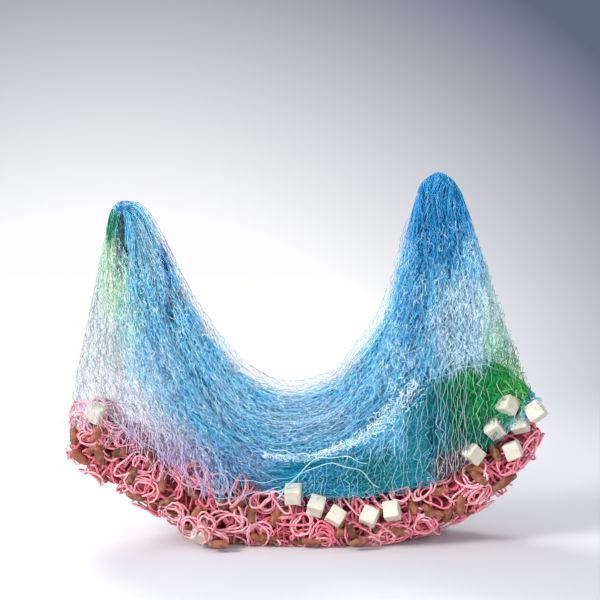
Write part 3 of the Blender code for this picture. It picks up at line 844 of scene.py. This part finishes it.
def clay_material():
    """Unglazed fired clay, browner and greyer from piece to piece, worn paler and pitted."""
    made, tree, shader, place = new_material("fired_clay", Specular_IOR_Level=0.3)
    clouds = noise(tree, place, 110, 4.0)
    grit = noise(tree, place, 1500)
    colour = tinted(tree, *CLAY, shade_of(tree), 0.0, 1.0)
    colour = tinted(tree, colour, CLAY_WORN, clouds, 0.42, 0.68, 0.6)
    colour = tinted(tree, colour, CLAY_PIT, grit, 0.60, 0.72, 0.6)
    finished(tree, shader, colour, ramp(tree, clouds, 0.3, 0.7, 0.78, 0.6), (0.5, 0.0003, grit))
    return made


def foam_material():
    """Cream closed-cell foam: fine cells, scuffs and a little dirt in its cut faces."""
    made, tree, shader, place = new_material("white_foam", Specular_IOR_Level=0.35, Subsurface_Weight=0.15,
                                             Subsurface_Scale=0.004)
    cells = add(tree, "TexVoronoi", (("Vector", place), ("Scale", 900.0))).outputs["Distance"]
    clouds = noise(tree, place, 60, 4.0)
    specks = noise(tree, place, 420, 2.0)
    colour = tinted(tree, *FOAM, clouds, 0.3, 0.7)
    colour = tinted(tree, colour, FOAM_DIRT, specks, 0.70, 0.78, 0.6)
    finished(tree, shader, colour, ramp(tree, clouds, 0.3, 0.7, 0.62, 0.48), (0.35, 0.0003, cells))
    return made


def hollow_shadow_material():
    """Painted deep shadow, with streaks of netting in it."""
    made, tree, shader, place = new_material("hollow_shadow", Roughness=0.6, Specular_IOR_Level=0.2)
    streaks = noise(tree, place, (700, 700, 120))
    finished(tree, shader, tinted(tree, *HOLLOW_SHADOW, streaks, 0.45, 0.70))
    return made


def hank_shadow_material():
    """Packed cord, painted dark as the shadow between the loops."""
    made, tree, shader, place = new_material("hank_shadow", Roughness=0.8, Specular_IOR_Level=0.2)
    folds = noise(tree, place, (90, 90, 160), distortion=1.5)
    finished(tree, shader, tinted(tree, *HANK_SHADOW, folds, 0.4, 0.65), bump=(1.0, 0.003, folds))
    return made


# The netting


def packed_mass(finish):
    """Pleated sheets of packed netting behind the threads, all in one mesh."""
    points, quads, places, start = [], [], [], 0
    for part, (kind, seed, columns, rows, foot, peak, first, last) in enumerate(CORE_PARTS):
        rng = np.random.default_rng(seed)
        u, v = np.meshgrid(np.linspace(0, 1, columns), np.linspace(0, 1, rows))
        u = np.clip(u + waved(u, v, waves(rng, 4, 3, 12, 0.05)), 0, 1)
        spots = surface(kind, foot, peak)(first + (last - first) * u, v)
        pleats = sum(
            h * (2 * abs(np.sin(pi * k * u + turn + drift * v)) - 1)
            for k, turn, drift, h in waves(rng, 7, 8, 46, PLEAT * 14)
        )
        spots[..., 1] *= folded(kind, u)
        spots[..., 1] += pleats * np.minimum(1, 0.25 + 2.5 * v) * np.sign(foot)
        quads.append(quads_of(start + numbered(spots)))
        points.append(spots.reshape(-1, 3))
        places.append(np.stack([u * 0.3 + 0.4 * part, v * 0.4], -1).reshape(-1, 2))
        start += u.size
    piece = mesh_piece("netting_panel", np.concatenate(points), np.concatenate(quads), finish)
    set_map(piece, "flow", np.concatenate(places))
    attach(piece, "root")
    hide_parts("netting")
    return piece


def strokes(rng, middles, ways, low, high):
    """Short bent threads about these places (n, 3), each its own way in the front plane."""
    t = np.linspace(-0.5, 0.5, 5)
    length = rng.uniform(low, high, (len(middles), 1))
    bend = rng.normal(0, 0.25, (len(middles), 1)) * length * (4 * t**2 - 0.5)
    ways = np.reshape(ways, (-1, 1))
    x = middles[:, :1] + length * t * np.cos(ways) - bend * np.sin(ways)
    z = middles[:, 2:] + length * t * np.sin(ways) + bend * np.cos(ways)
    return np.stack([x, np.broadcast_to(middles[:, 1:2], x.shape), z], -1)


def crumpled_band(rng, finish):
    """Short white threads, thick along a curve across the hammock, their white partly a painted highlight.
    """
    curve = through(BAND, 200)
    at = rng.uniform(0, 199, BAND_STROKES)
    along = np.arctan2(np.gradient(curve[:, 1]), np.gradient(curve[:, 0]))
    x, z, way = (np.interp(at, np.arange(200), column) for column in (*curve.T, along))
    aside = rng.normal(0, BAND_SPREAD[0] + BAND_SPREAD[1] * (at / 199) ** 1.5)
    y = -BAND_DEPTH[0] - rng.uniform(0, BAND_DEPTH[1], BAND_STROKES)
    middles = np.stack([x - np.sin(way) * aside, y, z + np.cos(way) * aside], -1)
    lines = strokes(rng, middles, way + rng.normal(0, 0.8, BAND_STROKES), 0.003, 0.011)
    shades = rng.uniform(1.1, 2.2, BAND_STROKES)
    return ribbons("band", lines, np.full(BAND_STROKES, BAND_RADIUS), rng, finish, shades)


def stray_threads(rng, finish, kind, foot, peak, first, last, top, low, count, pale):
    """Short threads that lie astray on one surface, painted pale as glints."""
    place = surface(kind, foot, peak)
    u, v = rng.uniform(first, last, count), rng.uniform(top, low, count)
    here, ahead = place(u, v), place(u, v + 0.01)
    way = np.arctan2(ahead[:, 2] - here[:, 2], ahead[:, 0] - here[:, 0]) + rng.normal(0, 0.45, count)
    lines = strokes(rng, here, way, 0.004, 0.011)
    shades = np.clip(pale + rng.normal(0, 0.4, count), 0, 2)
    return ribbons(kind, lines, np.full(count, GLINT_RADIUS), rng, finish, shades)


def glints(finish):
    """The crumpled white band, and short pale threads astray all over the netting, both painted pale and
    white as glints.
    """
    rng = np.random.default_rng(222)
    piece = joined([crumpled_band(rng, finish), *(stray_threads(rng, finish, *row) for row in GLINTS)])
    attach(piece, "root")
    return piece


def arches(rng, finish):
    """Pale cords over the hammock's foot."""
    lines = np.stack([through(arch, 60) for arch in ARCHES])
    lines = np.stack([lines[..., 0], np.full(lines.shape[:2], -ARCH_DEPTH), lines[..., 1]], -1)
    lines += 0.0012 * np.sin(np.linspace(0, 24, 60) + rng.uniform(0, 6, (len(ARCHES), 1)))[..., None]
    return tubes("loose_threads", lines, ARCH_RADIUS, 5, finish, ARCH_SHADES, flat_map=True)


def fringe(rng, finish, first, last, count, lift, drop):
    """Threads from the netting's foot down over the garland."""
    t = np.linspace(0, 1, 12)
    xs = rng.uniform(first, last, (count, 1))
    columns = np.array(GARLAND).T
    middle, half = (np.interp(xs, columns[0], column) for column in columns[1:3])
    start = middle + half + lift * rng.uniform(0.2, 1, (count, 1))
    end = middle + half - drop * rng.uniform(0, 1, (count, 1))
    x = xs + 0.016 * rng.normal(0.3, 1, (count, 1)) * t
    x = x + 0.004 * rng.normal(0, 1, (count, 1)) * np.sin(5 * t)
    z = start + (end - start) * t
    y = -FRINGE_DEPTH[0] - FRINGE_DEPTH[1] * np.sin(pi / 2 * t) * rng.uniform(0.8, 1.05, (count, 1))
    shades = rng.uniform(0.2, 1, count)
    return tubes("fringe", np.stack([x, y, z], -1), FRINGE_RADIUS, 3, finish, shades, flat_map=True)


def peak_front(z):
    """How far forward the netting stands at the left peak, at a height z."""
    return -np.minimum(0.036, 0.0235 + 0.36 * (HOLLOW[1] - z))


def hood(rng, finish):
    """Threads that fall over the hollow at the left peak's tip."""
    t = np.linspace(-1, 1, 40)
    size = rng.uniform(0.0035, 0.012, (HOOD_THREADS, 1))
    arch = np.sqrt(np.clip(1 - t**2, 0, 1))
    stray = rng.normal(0, 0.0004, (HOOD_THREADS, 40))
    x = HOLLOW[0] + size * np.sin(pi / 2 * t) * (1 + 0.7 * t**2) + stray
    z = HOLLOW[1] + (0.006 + size) * arch - (0.03 + 2.5 * size) * (1 - arch) * np.where(t > 0, 1.0, 0.8)
    y = peak_front(z) - 0.001 - 0.002 * rng.uniform(0, 1, (HOOD_THREADS, 1))
    shades = rng.uniform(0.2, 0.7, HOOD_THREADS)
    return tubes("hood", np.stack([x, y, z], -1), HOOD_RADIUS, 3, finish, shades, flat_map=True)


def tuft(rng, finish):
    """The frayed blue end at the right."""
    start = rng.uniform(0, 1, TUFT_THREADS)
    y = -0.034 - 0.012 * rng.uniform(0, 1, TUFT_THREADS)
    middles = np.stack((TUFT[0] + 0.036 * start, y, TUFT[1] + 0.004 * start), -1)
    lines = strokes(rng, middles, rng.normal(-0.5, 0.6, TUFT_THREADS), 0.008, 0.018)
    return tubes("tuft", lines, TUFT_RADIUS, 3, finish, rng.uniform(0, 0.5, TUFT_THREADS), flat_map=True)


def loose_threads(finish):
    """Pale cords, threads over the garland, the left peak's hood and the blue tuft, in one mesh."""
    rng = np.random.default_rng(111)
    pieces = [arches(rng, finish), *(fringe(rng, finish, *row) for row in FRINGES)]
    piece = joined([*pieces, hood(rng, finish), tuft(rng, finish)])
    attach(piece, "root")
    return piece


def hollow(finish):
    """A dark disc under the left peak's hood, painted as the shadow in the hollow there."""
    share, lift = np.array(HOLLOW_RINGS).T[:, :, None]
    angles = 2 * pi * np.arange(24) / 24
    up = np.sin(angles)
    z = HOLLOW[1] + share * up * np.where(up > 0, *HOLLOW_TALL)
    x = HOLLOW[0] + HOLLOW_WIDE * share * np.cos(angles) * (1 + 0.5 * np.minimum(0, up))
    points = np.stack([x, peak_front(z) - lift, z], -1)
    number = numbered(points)
    piece = mesh_piece("peak_hollow_shadow", points, quads_of(number, closed=True), finish, number[-1:])
    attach(piece, "root")
    return piece


# The garland


def garland_at(xs):
    """The garland's slant, height, half height and the half depth of one hank, at these x."""
    rings = through(GARLAND, 200)
    slant = np.arctan(np.gradient(rings[:, 1]) / np.gradient(rings[:, 0]))
    return [np.interp(xs, rings[:, 0], column) for column in (slant, *rings.T[1:])]


def on_garland(xs, arounds, lifts):
    """Places on the garland from x, degrees round the hanks (0 front, 90 top) and height over them."""
    slant, z, half_height, half_depth = garland_at(xs)
    angle = np.radians(arounds)
    up = (half_height + lifts) * np.sin(angle)
    y = -(2 * half_depth + lifts) * np.cos(angle)
    return np.stack([xs - np.sin(slant) * up, y, z + np.cos(slant) * up], -1)


def nest_lines(rng, xs, arounds, radii, turns, flats, lifts):
    """Spirals of cord that lie on the garland, one for each x."""
    t = np.linspace(0, 1, NEST_POINTS)
    angle = 2 * pi * turns[:, None] * t + rng.uniform(0, 2 * pi, (len(xs), 1))
    starts = rng.uniform(0, 2 * pi, (3, len(xs), 1))
    size = radii[:, None] * (1 - 0.62 * t * np.minimum(1, turns[:, None] / 4))
    size = size * (1 + 0.19 * np.sin(1.86 * angle + starts[0]) + 0.10 * np.sin(3.1 * angle + starts[1]))
    lift = lifts[:, None] + 0.0028 * np.sin(0.37 * angle + starts[2]) + 0.001 * np.sin(2.3 * angle)
    lift = lift - NEST_TUCK * (2 * abs(t - 0.5)) ** 8
    turned = rng.uniform(0, pi, len(xs))[:, None]
    a, b = size * np.cos(angle), size * flats[:, None] * np.sin(angle)
    a, b = a * np.cos(turned) - b * np.sin(turned), a * np.sin(turned) + b * np.cos(turned)
    at = np.clip(xs[:, None] + a, *NEST_ENDS)
    return on_garland(at, arounds[:, None] + np.degrees(b / NEST_ROUND), lift)


def turn_lines(rng, count, side):
    """Turns of cord wound round one hank, the front one with side -1 and the back one with 1."""
    xs = (np.linspace(*HANK_ENDS, count) + rng.uniform(-0.004, 0.004, count))[:, None]
    slant, z, half_height, half_depth = garland_at(xs)
    t = np.linspace(0, 2 * pi * 1.02, TURN_POINTS)
    lean = np.minimum(0.022, 0.3 * half_height) * rng.normal(0, 1, (count, 1))
    size = rng.uniform(0.90, 1.06, (count, 1)) * (1 + 0.05 * np.sin(3 * t + rng.uniform(0, 6, (count, 1))))
    y = side * half_depth + half_depth * size * np.cos(t)
    up = half_height * size * np.sin(t)
    x = xs - np.sin(slant) * up + lean * np.sin(t + rng.uniform(0, 6, (count, 1)))
    return np.stack([x, y, z + np.cos(slant) * up], -1)


def laid_on_floor(lines):
    """The same lines, with what would pass through the floor lying on it."""
    lines[..., 2] = np.maximum(lines[..., 2], CORD_RADIUS)
    return lines


def hank_nests(rng, named, layers, low_end, high_end):
    """Rows of nests, as in NESTS and with a shade each, a painted shade on the cord: the named ones, then
    random ones by layers.
    """
    rows = [(*row, NAMED_SHADE) for row in named]
    for count, low, high, dark, light in layers:
        xs = np.clip(np.linspace(*HANK_ENDS, count) + rng.normal(0, 0.004, count), *HANK_ENDS)
        room = 0.006 + 0.30 * np.minimum(xs + 0.330, 0.326 - xs)
        arounds = rng.uniform(low_end, high_end, count)
        radii = np.minimum(rng.uniform(0.010, 0.030, count), room)
        turns, flats = rng.uniform(0.5, 2.4, count), rng.uniform(0.30, 0.85, count)
        rows += zip(xs, arounds, radii, turns, flats, rng.uniform(low, high, count),
                    rng.uniform(dark, light, count))
    return np.array(rows).T


def cord_hank(name, node, side, layers, seed, named, finish):
    """One hank as its cord lies: turns round it, and nests of looser loops over it."""
    rng = np.random.default_rng(seed)
    *rows, shades = hank_nests(rng, named, layers, *((-75, 92) if side < 0 else (98, 250)))
    loops = laid_on_floor(nest_lines(rng, *rows))
    wound = laid_on_floor(turn_lines(rng, HANK_TURNS, side))
    pieces = [
        tubes(name, loops, CORD_RADIUS, CORD_SIDES, finish, shades),
        # Painted shade: the wound turns get low shades, as they lie under the nests.
        tubes(name + "_wound", wound, CORD_RADIUS, CORD_SIDES, finish, rng.uniform(0, 0.5, len(wound))),
    ]
    piece = joined(pieces)
    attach(piece, "root")
    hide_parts(node)
    return piece


def joined(pieces):
    with bpy.context.temp_override(active_object=pieces[0], selected_editable_objects=pieces):
        bpy.ops.object.join()
    return pieces[0]


def hank_core(finish):
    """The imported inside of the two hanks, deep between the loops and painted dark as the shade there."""
    rings = through(GARLAND, CORE_RINGS + 8)[4:-4]
    ways = unit(np.gradient(rings[:, :2], axis=0))
    angles = 2 * pi * np.arange(CORE_SIDES) / CORE_SIDES
    x, z, half_height, half_depth = rings.T[:, :, None]
    along = np.arange(CORE_RINGS)[:, None] / CORE_RINGS
    lump = 0.86 + 0.05 * np.sin(9 * angles + 60 * along) + 0.04 * np.sin(5 * angles - 110 * along)
    up = half_height * lump * np.sin(angles)
    y = -2 * half_depth * lump * np.cos(angles)
    points = np.stack([x - ways[:, 1:] * up, y, np.maximum(z + ways[:, :1] * up, 0.0008)], -1)
    number = numbered(points)
    quads = quads_of(number, closed=True)[:, [0, 3, 2, 1]]
    piece = mesh_piece("hank_core", points, quads, finish, np.stack([number[0], number[-1, ::-1]]))
    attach(piece, "root")
    return piece


def node_points(name):
    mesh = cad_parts[name].data
    points = np.empty(len(mesh.vertices) * 3)
    mesh.vertices.foreach_get("co", points)
    return points.reshape(-1, 3)


def sinker_places(names, rng):
    """Middle and long way of each sinker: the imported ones', then more in the gaps between."""
    middles, ways = [], []
    for name in names:
        points = node_points(name)
        middle = (points.min(0) + points.max(0)) / 2
        middles.append(points.mean(0))
        ways.append(np.linalg.eigh(np.cov((points - middle).T))[1][:, -1])
    xs = np.linspace(-0.31, 0.31, MORE_SINKERS) + rng.normal(0, 0.006, MORE_SINKERS)
    behind, before = rng.uniform(120, 230, MORE_SINKERS), rng.uniform(-50, 60, MORE_SINKERS)
    arounds = np.where(np.arange(MORE_SINKERS) % 4 == 3, behind, before)
    place = on_garland(xs, arounds, SINKER_LIFT)
    ahead = on_garland(xs + 0.002, arounds + rng.normal(0, 4, MORE_SINKERS), SINKER_LIFT)
    return np.array([*middles, *place]), np.array([*ways, *(ahead - place)])


def sinkers(names, finish):
    """Clay barrels with their bores, no two quite alike."""
    rng = np.random.default_rng(81)
    middles, ways = sinker_places(names, rng)
    count = len(middles)
    ways = unit(ways)
    side = unit(np.cross(ways, ASKEW_SINKERS))
    over = np.cross(ways, side)
    profile = np.array([*SINKER_PROFILE, (1.0, SINKER_BORE), (-1.0, SINKER_BORE)])
    angles = 2 * pi * np.arange(SINKER_SIDES) / SINKER_SIDES
    size = 1 + 0.05 * np.sin(2 * angles + rng.uniform(0, 6, (count, 1, 1)))
    size = size + 0.05 * np.sin(7 * profile[:, :1] + rng.uniform(0, 6, (count, 1, 1)))
    reach = profile[:, 1][:, None] * size * rng.uniform(0.9, 1.05, (count, 1, 1))
    along = (profile[:, 0] * SINKER_LENGTH / 2)[None, :, None, None] * ways[:, None, None]
    ring = np.cos(angles)[:, None] * side[:, None, None] + np.sin(angles)[:, None] * over[:, None, None]
    points = middles[:, None, None] + along + reach[..., None] * ring
    points[..., 2] = np.maximum(points[..., 2], 0.0003)
    number = numbered(points)
    quads = quads_of(np.concatenate([number, number[:, :1]], axis=1), closed=True)
    piece = mesh_piece("clay_sinkers", points, quads, finish)
    piece.data.set_sharp_from_angle(angle=radians(55))
    set_shades(piece, rng.uniform(0, 1, count), number)
    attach(piece, "root")
    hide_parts(*names)
    return piece


def float_axes(name):
    """The three ways across a packed float's flat faces, and its middle."""
    faces = sorted(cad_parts[name].data.polygons, key=lambda face: -face.area)
    first = faces[0].normal.copy()
    second = next(face.normal.copy() for face in faces if abs(face.normal.dot(first)) < 0.3)
    points = node_points(name)
    return first, second, first.cross(second), Vector((points.min(0) + points.max(0)) / 2)


def foam_cube(name, stretch):
    """One float in the place of a packed one, as a bmesh: soft edges and slightly hollow faces."""
    cube = bmesh.new()
    bmesh.ops.create_cube(cube, size=FLOAT_SIZE)
    bmesh.ops.bevel(cube, geom=cube.edges, offset=FLOAT_BEVEL, segments=4, affect="EDGES", profile=0.6)
    long_edges = [edge for edge in cube.edges if edge.calc_length() > 0.015]
    bmesh.ops.subdivide_edges(cube, edges=long_edges, cuts=5, use_grid_fill=True)
    first, second, third, middle = float_axes(name)
    for vert in cube.verts:
        x, y, z = vert.co / (FLOAT_SIZE / 2)
        hollow = 1 - FLOAT_HOLLOW * (1 - min(1, max(abs(x * y), abs(y * z), abs(x * z))))
        skew = 1 + 0.03 * sin(2.1 * x + 3 * y + middle.x * 400)
        vert.co = Vector([c * s * hollow * skew for c, s in zip(vert.co, stretch)])
    cube.transform(Matrix.Translation(middle) @ Matrix((first, second, third)).transposed().to_4x4())
    return cube


def floats(names, finish):
    """All the foam cubes, cut by hand, in one mesh."""
    rng = np.random.default_rng(91)
    work = bmesh.new()
    part = bpy.data.meshes.new("float_part")
    for name in names:
        cube = foam_cube(name, rng.uniform(0.94, 1.04, 3))
        cube.to_mesh(part)
        cube.free()
        work.from_mesh(part)
    bpy.data.meshes.remove(part)
    mesh = bpy.data.meshes.new("foam_floats")
    work.to_mesh(mesh)
    work.free()
    mesh.shade_smooth()
    mesh.materials.append(finish)
    piece = bpy.data.objects.new("foam_floats", mesh)
    bpy.context.scene.collection.objects.link(piece)
    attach(piece, "root")
    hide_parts(*names)
    return piece


# The studio


def sweep_material():
    """A pale floor, painted darker towards the right, that turns into a backdrop with a painted glow,
    brightest at the left, though it is no lamp.
    """
    made, tree, shader, place = new_material("sweep", Roughness=0.75, Specular_IOR_Level=0.2,
                                             Emission_Strength=1.0)
    parts = add(tree, "SeparateXYZ", ((0, place),)).outputs
    wall = ramp(tree, parts["Y"], *WALL_STARTS)
    from_there = vector_math(tree, "SUBTRACT", place, GLOW_FROM)
    back = add(tree, "SeparateXYZ", ((0, from_there),)).outputs["Y"]
    depth = add(tree, "CombineXYZ", enumerate([back] * 3)).outputs[0]
    spread = vector_math(tree, "DIVIDE", from_there, depth)
    rows = (("Vector", spread), ("Location", GLOW), ("Scale", GLOW_REACH))
    moved = add(tree, "Mapping", rows, vector_type="TEXTURE").outputs[0]
    away = add(tree, "VectorMath", ((0, moved),), operation="LENGTH").outputs["Value"]
    away = add(tree, "MapRange", (("Value", away), ("From Min", GLOW_FADE[0]), ("From Max", GLOW_FADE[1])))
    floor = tinted(tree, FLOOR_LIT_LEFT, FLOOR_SHADED_RIGHT, parts["X"], -0.1, 0.9)
    glow = mix(tree, away.outputs[0], *GLOW_COLOURS)
    finished(tree, shader, mix(tree, wall, floor, (0, 0, 0)))
    tree.links.new(mix(tree, wall, (0, 0, 0), glow), shader.inputs["Emission Color"])
    return made


def studio():
    """The sweep, a pale sky, a soft key from the left, a fill from the right and a rim from behind."""
    sides = (-SWEEP_SIDE, 0, SWEEP_SIDE)
    points = np.array([[(x, y, z - SWEEP_DROP) for x in sides] for y, z in through(SWEEP, 120)])
    sweep = mesh_piece("sweep", points, quads_of(numbered(points)), sweep_material())
    world = bpy.data.worlds.new("studio")
    world.use_nodes = True
    sky = world.node_tree.nodes["Background"].inputs
    sky["Color"].default_value = SKY
    sky["Strength"].default_value = SKY_STRENGTH
    bpy.context.scene.world = world
    for name, place, target, size, power in LAMPS:
        data = bpy.data.lights.new(name, "AREA")
        data.size = size
        data.energy = power
        lamp = bpy.data.objects.new(name, data)
        lamp.location = place
        lamp.rotation_euler = (Vector(target) - Vector(place)).to_track_quat("-Z", "Y").to_euler()
        bpy.context.scene.collection.objects.link(lamp)


def camera():
    way = Vector((0, -cos(radians(VIEW_ELEVATION)), sin(radians(VIEW_ELEVATION))))
    data = bpy.data.cameras.new("camera")
    data.lens = LENS
    made = bpy.data.objects.new("camera", data)
    made.location = Vector(VIEW_TARGET) + way * VIEW_DISTANCE
    made.rotation_euler = (-way).to_track_quat("-Z", "Y").to_euler()
    bpy.context.scene.collection.objects.link(made)
    bpy.context.scene.camera = made
    bpy.context.scene.view_settings.view_transform = "Standard"


def build():
    camera()
    studio()
    thread = thread_material()
    core = packed_mass(core_material())
    nets = [net_piece(name, thread) for name in ("net_left", "net_right", "net_hammock", "net_heap")]
    nets += [loose_threads(thread), hollow(hollow_shadow_material()), glints(thread)]
    nets += [net_piece(name, thread) for name in ("net_coarse", "net_skirt")]
    pink = cord_material()
    cord_hank("lead_line_turns", "lead_line_hank", -1, FRONT_NESTS, 101, NESTS, pink)
    cord_hank("float_line_turns", "float_line_hank", 1, BACK_NESTS, 102, (), pink)
    hank_core(hank_shadow_material())
    names = sorted(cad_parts)
    sinkers([name for name in names if name.startswith("sinker_")], clay_material())
    floats([name for name in names if name.startswith("float_") and name[-1].isdigit()], foam_material())


build()
